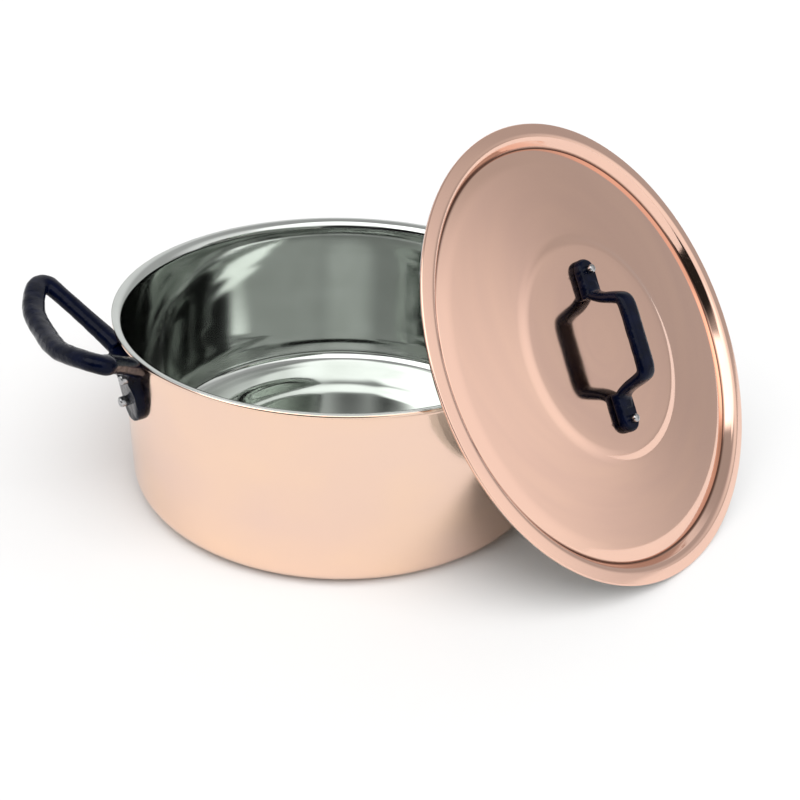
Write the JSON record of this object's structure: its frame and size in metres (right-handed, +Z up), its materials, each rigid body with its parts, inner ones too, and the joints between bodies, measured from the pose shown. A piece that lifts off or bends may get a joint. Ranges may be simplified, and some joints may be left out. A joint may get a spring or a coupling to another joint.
{
  "type": "saucepan",
  "caption": "Round copper pan with a bright steel lining and riveted iron loop handles at its sides; its flanged copper lid, with an iron bridge handle, leans on the rim",
  "frame": {"origin": "middle of the pan's flat base, on the surface that the pan stands on", "axes": "+Z up, the two side handles lie along X, the leaning lid faces -Y and a little +X"},
  "size_m": [0.3676, 0.2982, 0.1924],
  "materials": {
    "copper": null,
    "lining": "bright tin-coloured steel, lightly brushed",
    "iron": "black gloss over a pitted casting",
    "rivets": "bare steel, satin"
  },
  "bodies": {
    "pan": {"pan_body": "copper", "pan_lining": "lining", "handle_left": "iron", "handle_right": "iron", "rivet_left_low": "rivets", "rivet_left_front": "rivets", "rivet_left_back": "rivets", "rivet_right_low": "rivets", "rivet_right_front": "rivets", "rivet_right_back": "rivets"},
    "lid": {"lid_disc": "copper", "lid_lining": "lining", "lid_handle": "iron", "lid_rivet_upper": "rivets", "lid_rivet_lower": "rivets"}
  },
  "joints": [
    {"name": "lid_lift", "type": "slide", "parent": "pan", "child": "lid", "axis": [0, 0, 1], "range_m": [0, 0.25]}
  ]
}
